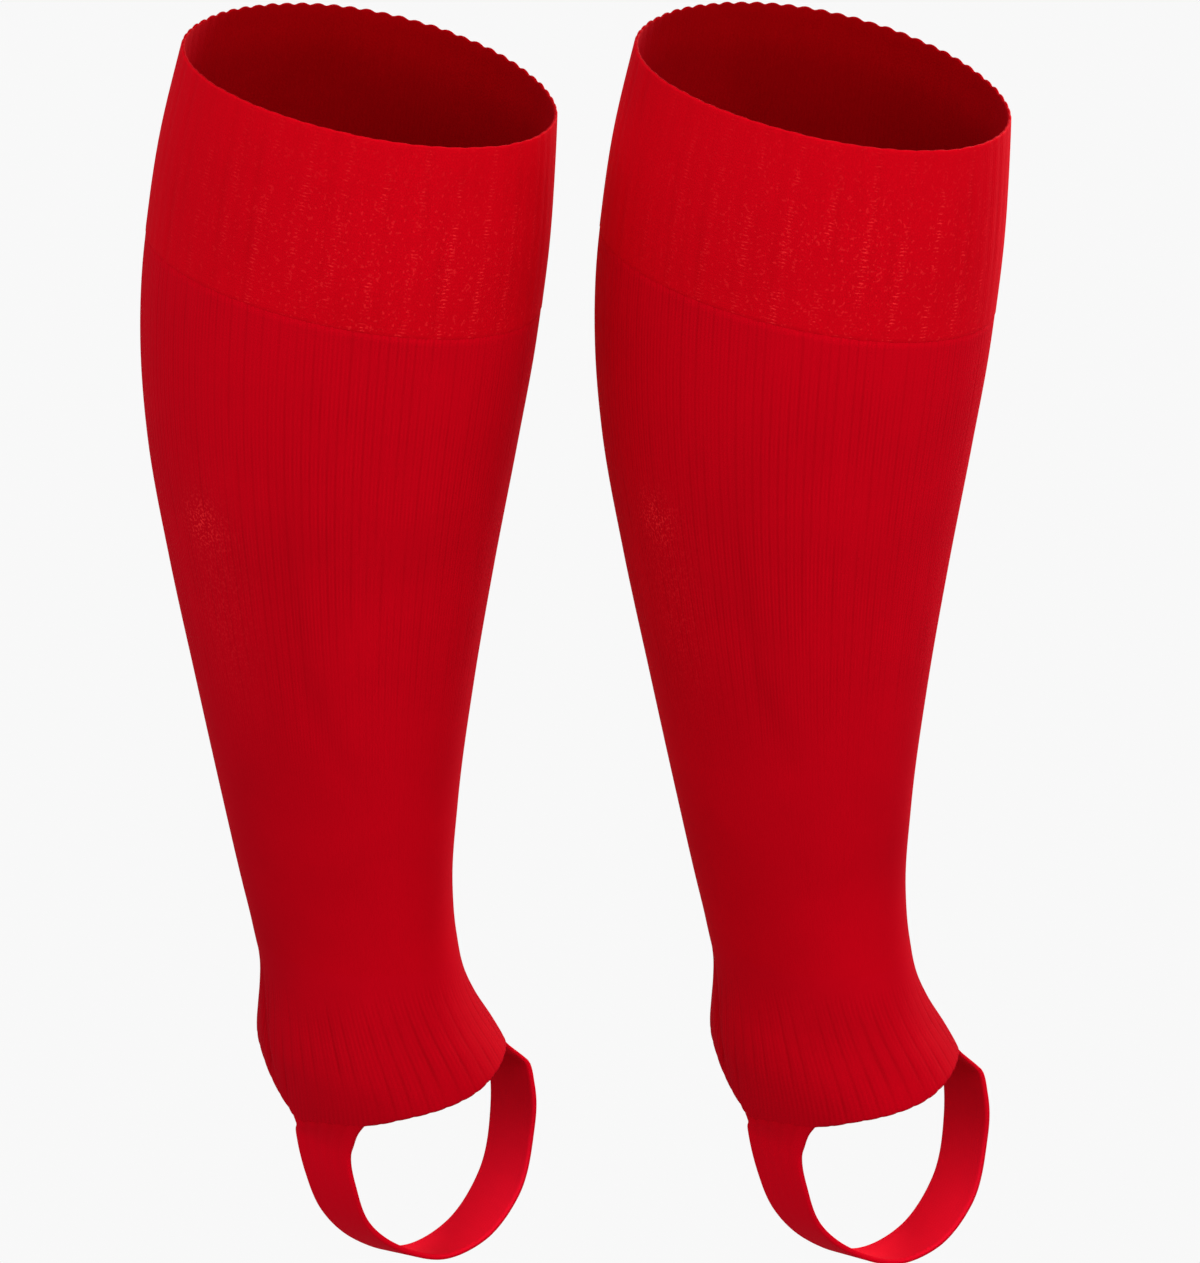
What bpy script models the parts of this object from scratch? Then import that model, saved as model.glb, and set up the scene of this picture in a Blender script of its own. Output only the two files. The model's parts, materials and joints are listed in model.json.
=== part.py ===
"""A pair of footless stirrup socks, knitted in red and filled out as if a leg were in them.

Each sock is four pieces set end to end: a ribbed double welt below the knee, the plain leg tube,
a ribbed ankle with an open hem, and a band that passes under the arch of the foot.

A sock has its own frame: +X towards the toes, +Y across the leg, +Z up, from the middle of the cuff
on the leg's axis. Table rows are in millimetres and degrees. The pair's origin lies midway between
the two cuffs, where the wearer's legs hold the pair.
"""

import math
from collections import namedtuple

import bpy
import numpy as np

MM = 0.001

# The pair: two like socks side by side, toes forward and to the right. Each leans out below the
# cuff, by this share of the depth.
SOCK_SPACING = 135.4
SOCK_SPLAY = 0.0178
TOES_TURN = {"left": -51.65, "right": -58.35}

SEAM_GAP = 0.3
CUFF_WALL = 2.4
CUFF_PROUD = 0.7
LEG_WALL = 1.6
ANKLE_WALL = 1.8
STIRRUP_WALL = 1.8

# Outline of the leg tube: every section is an ellipse, long along the foot, about a centre that
# moves forward or back of the leg's axis.
Section = namedtuple("Section", "height forward half_length half_width")
SECTIONS = (
    Section(-316.8, 24.5, 51.5, 34.7),
    Section(-288.2, 23.7, 50.9, 34.6),
    Section(-277.9, 22.2, 50.5, 34.8),
    Section(-272.2, 20.3, 48.8, 34.5),
    Section(-266.5, 17.4, 45.7, 33.1),
    Section(-259.7, 13.3, 41.6, 30.9),
    Section(-252.9, 10.0, 38.6, 29.5),
    Section(-239.4, 4.9, 37.4, 29.5),
    Section(-225.0, 0.8, 38.2, 30.8),
    Section(-197.6, -3.0, 41.4, 34.8),
    Section(-157.8, -5.8, 47.4, 41.5),
    Section(-118.8, -7.0, 53.6, 48.7),
    Section(-80.6, -6.4, 59.4, 55.2),
    Section(-49.2, -3.5, 62.3, 58.7),
    Section(-24.2, -0.2, 62.7, 59.5),
    Section(-6.4, 2.6, 61.8, 58.8),
    Section(18.0, 7.3, 59.3, 57.0),
    Section(49.0, 13.9, 54.8, 53.2),
)

# The rim and the lower edge of the cuff slope: each falls towards the toes and towards +Y, and the
# rim also sags a little between those two sides.
Slope = namedtuple("Slope", "height fall_to_toes fall_to_side sag")
RIM = Slope(34.3, 13.0, 3.7, 0.9)
CUFF_FOOT = Slope(-25.8, 10.6, 6.8, 0.0)

ANKLE_TOP = -241.7

# Round the foot from the heel, past the -Y side and the toes: the hem dips where the stirrup pulls
# on it and rises over instep and heel.
HemPoint = namedtuple("HemPoint", "turn height")
HEM = (
    HemPoint(-180.0, -272.2),
    HemPoint(-150.0, -273.1),
    HemPoint(-133.0, -275.0),
    HemPoint(-120.0, -278.1),
    HemPoint(-109.0, -283.1),
    HemPoint(-100.0, -287.0),
    HemPoint(-91.0, -289.5),
    HemPoint(-80.0, -287.3),
    HemPoint(-66.0, -284.7),
    HemPoint(-54.0, -283.0),
    HemPoint(-40.0, -279.7),
    HemPoint(-20.0, -276.4),
    HemPoint(0.0, -273.8),
    HemPoint(20.0, -271.5),
    HemPoint(40.0, -270.8),
    HemPoint(56.0, -272.2),
    HemPoint(73.0, -275.4),
    HemPoint(91.0, -278.2),
    HemPoint(106.0, -274.7),
    HemPoint(125.0, -270.6),
    HemPoint(150.0, -270.7),
    HemPoint(180.0, -272.2),
)

# Soft troughs in the cloth, each straight from its top to its foot: half its width, and how deep it is.
Trough = namedtuple("Trough", "top_turn top foot_turn foot width depth")
TROUGHS = (
    Trough(-54.0, -76.0, -48.0, -168.0, 4.0, 0.7),
    Trough(-51.0, -138.0, -33.0, -186.0, 4.5, 0.4),
    Trough(58.0, -88.0, 70.0, -176.0, 4.5, 0.6),
    Trough(152.0, -112.0, 140.0, -204.0, 5.0, 0.5),
    Trough(-127.0, -245.0, -103.0, -285.0, 2.4, 0.9),
    Trough(128.0, -245.0, 108.0, -276.0, 2.4, 0.8),
)

# Ribs stand on the outer face only: count round the tube, and how deep the grooves between them are.
CUFF_RIBS = 66
CUFF_GROOVE = 0.7
CUFF_SHALLOW_GROOVE = 0.35
ANKLE_RIBS = 48
ANKLE_GROOVE_TOP = 0.2
ANKLE_GROOVE_HEM = 0.8
RIM_SCALLOP = 0.4
HEM_SCALLOP = 0.4
COLUMNS_PER_RIB = 3

# The rim is rounded: its outer corner is cut in and down, and the inner wall ends a little lower.
RIM_CUT_IN = 0.9
RIM_CUT_DOWN = 1.0
RIM_INNER_DROP = 0.6

LEG_COLUMNS = 60
LEG_ROWS = 12
CUFF_ROWS = 4
ANKLE_ROWS = 6

# Middle of the stirrup band, from the hem on the -Y side, under the arch, to the hem on the +Y side.
Band = namedtuple("Band", "along side height forward width twist")
STIRRUP = (
    Band(0.0, -31.4, -286.4, 35.5, 31.6, -10.3),
    Band(2.7, -31.5, -289.1, 33.7, 27.0, -9.0),
    Band(6.6, -31.6, -293.0, 33.1, 25.2, -7.5),
    Band(22.4, -29.5, -308.6, 34.2, 23.9, -5.5),
    Band(36.1, -24.5, -321.7, 34.6, 22.0, -7.9),
    Band(51.8, -14.2, -333.2, 36.9, 22.0, -11.3),
    Band(69.3, 2.2, -340.5, 40.8, 23.0, -14.0),
    Band(84.4, 16.9, -336.8, 42.8, 24.3, -13.1),
    Band(102.4, 28.8, -323.2, 44.3, 25.3, -10.7),
    Band(122.6, 33.7, -303.6, 44.4, 25.2, -7.2),
    Band(140.6, 34.6, -285.8, 42.6, 25.8, -5.0),
    Band(147.2, 35.2, -279.3, 39.0, 24.4, -4.0),
    Band(151.0, 34.8, -275.5, 35.3, 22.8, -4.0),
)
STIRRUP_ROWS = 31
STIRRUP_COLUMNS = 9
# How far below the hem the band still curves with it, on the -Y side and on the +Y side.
STIRRUP_BLEND = (9.0, 4.5)
STIRRUP_STEP = 0.5

# Plain dyed knit of each piece: linear colour and roughness.
Knit = namedtuple("Knit", "red green blue roughness")
KNITS = {
    "cuff": Knit(0.56, 0.003, 0.010, 0.85),
    "leg": Knit(0.45, 0.003, 0.008, 0.80),
    "ankle": Knit(0.43, 0.003, 0.009, 0.80),
    "stirrup": Knit(0.50, 0.004, 0.012, 0.75),
}
SHARP_EDGE = 40.0


def smooth(rows, column, place):
    """Value of a table's column at a place in its first column, on a smooth curve through the rows."""
    at = np.array([row[0] for row in rows])
    values = np.array([getattr(row, column) for row in rows])
    slopes = np.gradient(values, at)
    place = np.clip(place, at[0], at[-1])
    low = np.clip(np.searchsorted(at, place, side="right") - 1, 0, len(at) - 2)
    step = at[low + 1] - at[low]
    t = (place - at[low]) / step
    start = (1 + 2 * t) * (1 - t) ** 2 * values[low] + t * (1 - t) ** 2 * step * slopes[low]
    end = t**2 * (3 - 2 * t) * values[low + 1] - t**2 * (1 - t) * step * slopes[low + 1]
    return start + end


def turns_round(count, height):
    """Turns from the toes, in radians, of points evenly spaced round the section at a height."""
    turn = np.linspace(0.0, 2 * math.pi, 721)
    length = smooth(SECTIONS, "half_length", height)
    width = smooth(SECTIONS, "half_width", height)
    pace = np.hypot(length * np.sin(turn), width * np.cos(turn))
    run = np.concatenate([[0.0], np.cumsum((pace[1:] + pace[:-1]) / 2)])
    return np.interp(np.arange(count) / count, run / run[-1], turn)


def on_leg(turn, height, push):
    """Points on the leg tube at the given turns and heights, pushed out level from its surface."""
    forward = smooth(SECTIONS, "forward", height)
    length = smooth(SECTIONS, "half_length", height)
    width = smooth(SECTIONS, "half_width", height)
    out = np.hypot(np.cos(turn) / length, np.sin(turn) / width)
    x = forward + length * np.cos(turn) + push * np.cos(turn) / length / out
    y = width * np.sin(turn) + push * np.sin(turn) / width / out
    return np.column_stack([x, y, height + 0.0 * turn])


def slope_height(slope, turn):
    """Height of a sloping edge at the given turns."""
    fall = slope.fall_to_toes * np.cos(turn) + slope.fall_to_side * np.sin(turn)
    return slope.height - fall - slope.sag * np.sin(2 * turn)


def hem_height(turn):
    """Height of the hem at the given turns."""
    return smooth(HEM, "height", np.degrees((turn + math.pi) % (2 * math.pi) - math.pi))


def troughs(turn, height):
    """How far the soft troughs take the surface in at the given turns and heights."""
    depth = 0.0 * turn + 0.0 * height
    for row in TROUGHS:
        share = np.clip((row.top - height) / (row.top - row.foot), 0.0, 1.0)
        middle = row.top_turn + (row.foot_turn - row.top_turn) * share
        aside = np.radians((np.degrees(turn) - middle + 180.0) % 360.0 - 180.0)
        aside = aside * smooth(SECTIONS, "half_length", height)
        depth = depth + row.depth * np.sin(math.pi * share) * np.exp(-((aside / row.width) ** 2))
    return depth


def groove(columns, deep, shallow):
    """Depth below the rib crests for each column: a groove, then two columns of crest."""
    place = np.arange(columns)
    rib = place // COLUMNS_PER_RIB
    depth = np.where(rib % 2 == 0, deep, shallow)
    return np.where(place % COLUMNS_PER_RIB == 0, depth, 0.0)


def join_rings(faces, upper, lower, columns):
    """Add two triangles for each column between two rings, given by their first points' numbers."""
    for place in range(columns):
        after = (place + 1) % columns
        faces.append((upper + place, lower + place, lower + after))
        faces.append((upper + place, lower + after, upper + after))


def join_edge(faces, outer, inner, outer_columns, inner_columns, top):
    """Close the top or bottom edge of a wall whose inner ring has fewer points than its outer ring."""
    share = outer_columns // inner_columns
    back = share // 2
    for place in range(inner_columns):
        here = inner + place
        after = inner + (place + 1) % inner_columns
        for number in range(place * share - back, (place + 1) * share - back):
            first = outer + number % outer_columns
            second = outer + (number + 1) % outer_columns
            faces.append((here, first, second) if top else (here, second, first))
        middle = outer + ((place + 1) * share - back) % outer_columns
        faces.append((here, middle, after) if top else (here, after, middle))


def tube_wall(outer_rings, inner_rings):
    """Points and faces of a closed wall between outer and inner rings, both from top to bottom."""
    points = np.vstack(outer_rings + inner_rings)
    outer_columns = len(outer_rings[0])
    inner_columns = len(inner_rings[0])
    inner_start = outer_columns * len(outer_rings)
    faces = []
    for row in range(len(outer_rings) - 1):
        join_rings(faces, row * outer_columns, (row + 1) * outer_columns, outer_columns)
    inner_faces = []
    for row in range(len(inner_rings) - 1):
        upper = inner_start + row * inner_columns
        join_rings(inner_faces, upper, upper + inner_columns, inner_columns)
    faces.extend(face[::-1] for face in inner_faces)
    last_outer = outer_columns * (len(outer_rings) - 1)
    last_inner = inner_start + inner_columns * (len(inner_rings) - 1)
    join_edge(faces, 0, inner_start, outer_columns, inner_columns, True)
    join_edge(faces, last_outer, last_inner, outer_columns, inner_columns, False)
    return points, faces


def cuff():
    """Double welt: ribbed outside, plain inside, with a rounded, scalloped rim."""
    columns = CUFF_RIBS * COLUMNS_PER_RIB
    outer_turn = turns_round(columns, RIM.height)
    inner_turn = outer_turn[::COLUMNS_PER_RIB]
    sink = groove(columns, CUFF_GROOVE, CUFF_SHALLOW_GROOVE)
    scallop = RIM_SCALLOP * sink / CUFF_GROOVE
    rim = slope_height(RIM, outer_turn) - scallop
    outer_rings = [on_leg(outer_turn, rim, CUFF_PROUD - RIM_CUT_IN)]
    for share in np.linspace(0.0, 1.0, CUFF_ROWS):
        height = (rim - RIM_CUT_DOWN) * (1 - share) + slope_height(CUFF_FOOT, outer_turn) * share
        outer_rings.append(on_leg(outer_turn, height, CUFF_PROUD - sink))
    inner_rim = slope_height(RIM, inner_turn) - RIM_SCALLOP - RIM_INNER_DROP
    inner_rings = []
    for share in np.linspace(0.0, 1.0, CUFF_ROWS):
        height = inner_rim * (1 - share) + slope_height(CUFF_FOOT, inner_turn) * share
        inner_rings.append(on_leg(inner_turn, height, CUFF_PROUD - CUFF_WALL))
    return tube_wall(outer_rings, inner_rings)


def leg():
    """Plain tube from the cuff's sloping foot down to the ankle."""
    turn = turns_round(LEG_COLUMNS, (CUFF_FOOT.height + ANKLE_TOP) / 2)
    top = slope_height(CUFF_FOOT, turn) - SEAM_GAP
    outer_rings = []
    inner_rings = []
    for share in np.linspace(0.0, 1.0, LEG_ROWS):
        height = top * (1 - share) + (ANKLE_TOP + SEAM_GAP) * share
        sunk = troughs(turn, height)
        outer_rings.append(on_leg(turn, height, -sunk))
        inner_rings.append(on_leg(turn, height, -sunk - LEG_WALL))
    return tube_wall(outer_rings, inner_rings)


def ankle():
    """Ribbed ankle, flaring to an open hem whose edge is lightly scalloped by the ribs."""
    columns = ANKLE_RIBS * COLUMNS_PER_RIB
    outer_turn = turns_round(columns, HEM[0].height)
    inner_turn = outer_turn[::COLUMNS_PER_RIB]
    notch = groove(columns, 1.0, 1.0)
    outer_rings = []
    inner_rings = []
    for share in np.linspace(0.0, 1.0, ANKLE_ROWS):
        depth = ANKLE_GROOVE_TOP * (1 - share) + ANKLE_GROOVE_HEM * share
        outer_hem = hem_height(outer_turn) + HEM_SCALLOP * notch
        outer_height = ANKLE_TOP * (1 - share) + outer_hem * share
        inner_height = ANKLE_TOP * (1 - share) + (hem_height(inner_turn) + HEM_SCALLOP) * share
        outer_sunk = depth * notch + troughs(outer_turn, outer_height)
        inner_sunk = ANKLE_WALL + troughs(inner_turn, inner_height)
        outer_rings.append(on_leg(outer_turn, outer_height, -outer_sunk))
        inner_rings.append(on_leg(inner_turn, inner_height, -inner_sunk))
    return tube_wall(outer_rings, inner_rings)


def stirrup_point(along, across, lift):
    """Point of the band: a distance along it, a share of its half width, and a lift off its middle."""
    side = smooth(STIRRUP, "side", along)
    height = smooth(STIRRUP, "height", along)
    ahead = np.zeros(3)
    for sign in (-1.0, 1.0):
        ahead[1] += sign * smooth(STIRRUP, "side", along + sign * STIRRUP_STEP)
        ahead[2] += sign * smooth(STIRRUP, "height", along + sign * STIRRUP_STEP)
    ahead /= np.linalg.norm(ahead)
    outward = np.array([0.0, ahead[2], -ahead[1]])
    twist = math.radians(smooth(STIRRUP, "twist", along))
    across_way = math.cos(twist) * np.array([1.0, 0.0, 0.0]) + math.sin(twist) * outward
    face_way = np.cross(across_way, ahead)
    if face_way @ outward < 0:
        face_way = -face_way
    half_width = smooth(STIRRUP, "width", along) / 2
    middle = np.array([smooth(STIRRUP, "forward", along), side, height])
    flat = middle + across * half_width * across_way + lift * face_way

    total = STIRRUP[-1].along
    from_hem = min(along, total - along)
    blend = STIRRUP_BLEND[0] if along < total / 2 else STIRRUP_BLEND[1]
    ease = max(0.0, 1.0 - from_hem / blend)
    ease = ease * ease * (3 - 2 * ease)
    hem_row = STIRRUP[0] if along < total / 2 else STIRRUP[-1]
    sign = math.copysign(1.0, hem_row.side)
    place = hem_row.forward + across * half_width * math.cos(twist)
    centre = smooth(SECTIONS, "forward", hem_row.height)
    length = smooth(SECTIONS, "half_length", hem_row.height)
    turn = np.array([sign * math.acos(np.clip((place - centre) / length, -1.0, 1.0))])
    drop = hem_height(turn) - SEAM_GAP - from_hem
    under_hem = on_leg(turn, hem_height(turn), lift - ANKLE_WALL / 2)[0]
    under_hem[2] = drop[0]
    return flat * (1 - ease) + under_hem * ease


def stirrup():
    """Flat band, curved at both ends to lie edge to edge with the hem."""
    points = []
    for lift in (STIRRUP_WALL / 2, -STIRRUP_WALL / 2):
        for along in np.linspace(0.0, STIRRUP[-1].along, STIRRUP_ROWS):
            for across in np.linspace(-1.0, 1.0, STIRRUP_COLUMNS):
                points.append(stirrup_point(along, across, lift))
    sheet = STIRRUP_ROWS * STIRRUP_COLUMNS
    faces = []
    for row in range(STIRRUP_ROWS - 1):
        for column in range(STIRRUP_COLUMNS - 1):
            a = row * STIRRUP_COLUMNS + column
            b = a + 1
            c = b + STIRRUP_COLUMNS
            d = a + STIRRUP_COLUMNS
            faces += [(c, b, a), (d, c, a)]
            faces += [(sheet + a, sheet + b, sheet + c), (sheet + a, sheet + c, sheet + d)]
    border = list(range(STIRRUP_COLUMNS))
    border += [row * STIRRUP_COLUMNS + STIRRUP_COLUMNS - 1 for row in range(1, STIRRUP_ROWS)]
    border += [sheet - 1 - column for column in range(1, STIRRUP_COLUMNS)]
    border += [row * STIRRUP_COLUMNS for row in range(STIRRUP_ROWS - 2, 0, -1)]
    for a, b in zip(border, border[1:] + border[:1]):
        faces += [(sheet + b, sheet + a, a), (b, sheet + b, a)]
    return np.array(points), faces


def knit_material(piece):
    """Material of a piece's knit."""
    knit = KNITS[piece]
    material = bpy.data.materials.new(piece + "_knit")
    material.use_nodes = True
    shader = material.node_tree.nodes["Principled BSDF"]
    shader.inputs["Base Color"].default_value = (knit.red, knit.green, knit.blue, 1.0)
    shader.inputs["Roughness"].default_value = knit.roughness
    shader.inputs["Metallic"].default_value = 0.0
    return material


def placed(points, side):
    """Points of a sock's own frame in the pair's frame: turned, leaned outwards and set to its side."""
    turn = math.radians(TOES_TURN[side])
    way = {"left": -1.0, "right": 1.0}[side]
    lean = way * (SOCK_SPACING / 2 - SOCK_SPLAY * points[:, 2])
    x = points[:, 0] * math.cos(turn) - points[:, 1] * math.sin(turn) + lean
    y = points[:, 0] * math.sin(turn) + points[:, 1] * math.cos(turn)
    return np.column_stack([x, y, points[:, 2]])


def piece_object(name, points, faces, material):
    """Object of one piece from its points in millimetres and its faces."""
    mesh = bpy.data.meshes.new(name)
    mesh.from_pydata([tuple(point) for point in points * MM], [], faces)
    mesh.materials.append(material)
    mesh.shade_smooth()
    mesh.set_sharp_from_angle(angle=math.radians(SHARP_EDGE))
    bpy.context.scene.collection.objects.link(bpy.data.objects.new(name, mesh))


def build_pair():
    """Two like socks from the same four pieces."""
    shapes = {"cuff": cuff(), "leg": leg(), "ankle": ankle(), "stirrup": stirrup()}
    for piece, (points, faces) in shapes.items():
        material = knit_material(piece)
        for side in TOES_TURN:
            piece_object(side + "_" + piece, placed(points, side), faces, material)


for old in list(bpy.data.objects):
    bpy.data.objects.remove(old, do_unlink=True)
build_pair()
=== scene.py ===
"""Looks of a pair of red footless stirrup socks, filled out as worn.

Every piece is a thin closed shell of knit on the form of its solid: cuff, leg, ankle and stirrup
band. Each is meshed at its own ribs, and its knit material adds the stitches. Tables and lengths
are in millimetres and degrees, in a sock's own frame: +X towards the toes, +Y across the leg, +Z
up. Turns go round the leg, from the toes.
"""

import json
import math
from collections import namedtuple

import bpy
import numpy as np
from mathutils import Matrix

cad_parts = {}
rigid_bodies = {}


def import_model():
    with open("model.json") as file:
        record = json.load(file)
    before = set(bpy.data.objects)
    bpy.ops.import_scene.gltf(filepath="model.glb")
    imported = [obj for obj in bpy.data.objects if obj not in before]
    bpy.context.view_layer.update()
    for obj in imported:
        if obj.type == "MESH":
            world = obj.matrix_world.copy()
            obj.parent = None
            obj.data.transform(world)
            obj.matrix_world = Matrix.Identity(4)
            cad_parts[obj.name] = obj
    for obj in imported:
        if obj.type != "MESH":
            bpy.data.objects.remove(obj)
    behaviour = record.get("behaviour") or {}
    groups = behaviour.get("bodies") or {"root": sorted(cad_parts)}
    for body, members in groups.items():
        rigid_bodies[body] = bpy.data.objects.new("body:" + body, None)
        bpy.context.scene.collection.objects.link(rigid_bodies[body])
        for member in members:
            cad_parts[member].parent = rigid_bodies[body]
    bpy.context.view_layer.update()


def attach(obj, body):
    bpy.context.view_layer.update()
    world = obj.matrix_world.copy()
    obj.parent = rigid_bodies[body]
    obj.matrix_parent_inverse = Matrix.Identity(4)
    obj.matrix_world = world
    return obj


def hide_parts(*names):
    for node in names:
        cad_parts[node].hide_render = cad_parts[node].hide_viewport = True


MM = 0.001

# The pair's places, as in the solids: between the socks' middles, how far each leans outwards in a
# millimetre down, and how far its toe side is turned.
SOCK_SPACING = 135.4
SOCK_SPLAY = 0.0178
TOES_TURN = {"left": -51.65, "right": -58.35}
SIDE_WAY = {"left": -1.0, "right": 1.0}

# The form of the leg and the band, as in the solids.
Section = namedtuple("Section", "height forward half_length half_width")
SECTIONS = (
    Section(-316.8, 24.5, 51.5, 34.7),
    Section(-288.2, 23.7, 50.9, 34.6),
    Section(-277.9, 22.2, 50.5, 34.8),
    Section(-272.2, 20.3, 48.8, 34.5),
    Section(-266.5, 17.4, 45.7, 33.1),
    Section(-259.7, 13.3, 41.6, 30.9),
    Section(-252.9, 10.0, 38.6, 29.5),
    Section(-239.4, 4.9, 37.4, 29.5),
    Section(-225.0, 0.8, 38.2, 30.8),
    Section(-197.6, -3.0, 41.4, 34.8),
    Section(-157.8, -5.8, 47.4, 41.5),
    Section(-118.8, -7.0, 53.6, 48.7),
    Section(-80.6, -6.4, 59.4, 55.2),
    Section(-49.2, -3.5, 62.3, 58.7),
    Section(-24.2, -0.2, 62.7, 59.5),
    Section(-6.4, 2.6, 61.8, 58.8),
    Section(18.0, 7.3, 59.3, 57.0),
    Section(49.0, 13.9, 54.8, 53.2),
)
Slope = namedtuple("Slope", "height fall_to_toes fall_to_side sag")
RIM = Slope(34.3, 13.0, 3.7, 0.9)
CUFF_FOOT = Slope(-25.8, 10.6, 6.8, 0.0)
ANKLE_TOP = -241.7

HemPoint = namedtuple("HemPoint", "turn height")
HEM = (
    HemPoint(-180.0, -272.2),
    HemPoint(-150.0, -273.1),
    HemPoint(-133.0, -275.0),
    HemPoint(-120.0, -278.1),
    HemPoint(-109.0, -283.1),
    HemPoint(-100.0, -287.0),
    HemPoint(-91.0, -289.5),
    HemPoint(-80.0, -287.3),
    HemPoint(-66.0, -284.7),
    HemPoint(-54.0, -283.0),
    HemPoint(-40.0, -279.7),
    HemPoint(-20.0, -276.4),
    HemPoint(0.0, -273.8),
    HemPoint(20.0, -271.5),
    HemPoint(40.0, -270.8),
    HemPoint(56.0, -272.2),
    HemPoint(73.0, -275.4),
    HemPoint(91.0, -278.2),
    HemPoint(106.0, -274.7),
    HemPoint(125.0, -270.6),
    HemPoint(150.0, -270.7),
    HemPoint(180.0, -272.2),
)
Band = namedtuple("Band", "along side height forward width twist")
STIRRUP = (
    Band(0.0, -31.4, -286.4, 35.5, 31.6, -10.3),
    Band(2.7, -31.5, -289.1, 33.7, 27.0, -9.0),
    Band(6.6, -31.6, -293.0, 33.1, 25.2, -7.5),
    Band(22.4, -29.5, -308.6, 34.2, 23.9, -5.5),
    Band(36.1, -24.5, -321.7, 34.6, 22.0, -7.9),
    Band(51.8, -14.2, -333.2, 36.9, 22.0, -11.3),
    Band(69.3, 2.2, -340.5, 40.8, 23.0, -14.0),
    Band(84.4, 16.9, -336.8, 42.8, 24.3, -13.1),
    Band(102.4, 28.8, -323.2, 44.3, 25.3, -10.7),
    Band(122.6, 33.7, -303.6, 44.4, 25.2, -7.2),
    Band(140.6, 34.6, -285.8, 42.6, 25.8, -5.0),
    Band(147.2, 35.2, -279.3, 39.0, 24.4, -4.0),
    Band(151.0, 34.8, -275.5, 35.3, 22.8, -4.0),
)
# How far before and behind a place on the band its direction is taken.
STIRRUP_STEP = 0.5

# The band's ends at the hem, and how far below it the band still curves with it.
HemEnd = namedtuple("HemEnd", "band blend")
NEAR_END = HemEnd(STIRRUP[0], 9.0)
FAR_END = HemEnd(STIRRUP[-1], 4.5)

# Soft troughs in the cloth, each straight from its top to its foot: half its width, and how deep
# it is.
Trough = namedtuple("Trough", "top_turn top foot_turn foot width depth")
TROUGHS = (
    Trough(-54.0, -76.0, -48.0, -168.0, 4.0, 0.7),
    Trough(-51.0, -138.0, -33.0, -186.0, 4.5, 0.4),
    Trough(58.0, -88.0, 70.0, -176.0, 4.5, 0.6),
    Trough(152.0, -112.0, 140.0, -204.0, 5.0, 0.5),
    Trough(-127.0, -245.0, -103.0, -285.0, 2.4, 0.9),
    Trough(128.0, -245.0, 108.0, -276.0, 2.4, 0.8),
)

# How far the cuff stands proud of the leg, and how thick each wall is.
CUFF_PROUD = 0.7
CUFF_WALL = 2.4
RIM_WALL = 1.1
LEG_WALL = 1.6
ANKLE_WALL = 1.8
STIRRUP_WALL = 1.8

# Ribs round a tube: how many there are, the mesh columns in each, the width of the groove between
# two as a share of a rib, its depth, the height at which they are evenly spaced, and the mesh rows
# down the outside and up the inside.
Ribs = namedtuple("Ribs", "count columns groove deep height rows inner_rows")
CUFF_RIBS = Ribs(66, 8, 0.24, 0.12, RIM.height, 56, 20)
LEG_RIBS = Ribs(142, 5, 0.24, 0.08, -90.0, 92, 14)
ANKLE_RIBS = Ribs(48, 12, 0.15, 0.22, HEM[0].height, 46, 18)

# How the depth of each groove changes along its length: soft waves round a mean, kept between a
# least and a most, all as shares of the depth.
Change = namedtuple("Change", "seed length longest mean swing least most")
CUFF_CHANGE = Change(11, 62.0, 160.0, 0.8, 0.9, 0.0, 1.7)
LEG_CHANGE = Change(23, 215.0, 160.0, 0.85, 0.9, 0.0, 1.9)
ANKLE_CHANGE = Change(31, 36.0, 70.0, 0.8, 0.8, 0.15, 1.8)
# Each wave is shorter and weaker than the one before, and their sum is scaled back.
WAVES = 5
WAVE_SHORTER = 1.6
WAVE_WEAKER = 0.75
WAVE_SCALE = 2.2

# Groove value of a face inside a tube, which shows the back of the knit and gets painted shade, and
# the most that one outside has.
INSIDE = 2.0
OUTSIDE_MOST = 1.3

# Angles round a rim or hem, from its outside to its inside.
ROUNDING = (30.0, 60.0, 90.0, 120.0, 150.0)
# The angle from which an edge is shaded sharp.
SHARP_EDGE = 55.0
# Turns at which a section is measured, to space the points round it evenly.
FINE_TURNS = 721


def part(value, start, end):
    """How far a value is from start to end, from 0 to 1."""
    return np.clip((value - start) / (end - start), 0.0, 1.0)


def fade(value, start, end):
    """0 at start to 1 at end, with soft ends."""
    share = part(value, start, end)
    return share * share * (3 - 2 * share)


def bell(value, middle, width):
    """1 at the middle, falling softly to both sides."""
    return np.exp(-(((value - middle) / width) ** 2))


def between(start, end, share):
    """The value at a share of the way from start to end."""
    return start * (1 - share) + end * share


def smooth(rows, column, place):
    """Value of a table's column at a place in its first column, on a smooth curve through them."""
    at = np.array([row[0] for row in rows])
    values = np.array([getattr(row, column) for row in rows])
    slopes = np.gradient(values, at)
    place = np.clip(place, at[0], at[-1])
    low = np.clip(np.searchsorted(at, place, side="right") - 1, 0, len(at) - 2)
    step = at[low + 1] - at[low]
    t = (place - at[low]) / step
    start = (1 + 2 * t) * (1 - t) ** 2 * values[low] + t * (1 - t) ** 2 * step * slopes[low]
    end = t**2 * (3 - 2 * t) * values[low + 1] - t**2 * (1 - t) * step * slopes[low + 1]
    return start + end


def turns_round(count, height):
    """Turns in radians of points evenly spaced round the section at a height."""
    turn = np.linspace(0.0, 2 * math.pi, FINE_TURNS)
    length = smooth(SECTIONS, "half_length", height)
    width = smooth(SECTIONS, "half_width", height)
    pace = np.hypot(length * np.sin(turn), width * np.cos(turn))
    run = np.concatenate([[0.0], np.cumsum((pace[1:] + pace[:-1]) / 2)])
    return np.interp(np.arange(count) / count, run / run[-1], turn)


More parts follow.
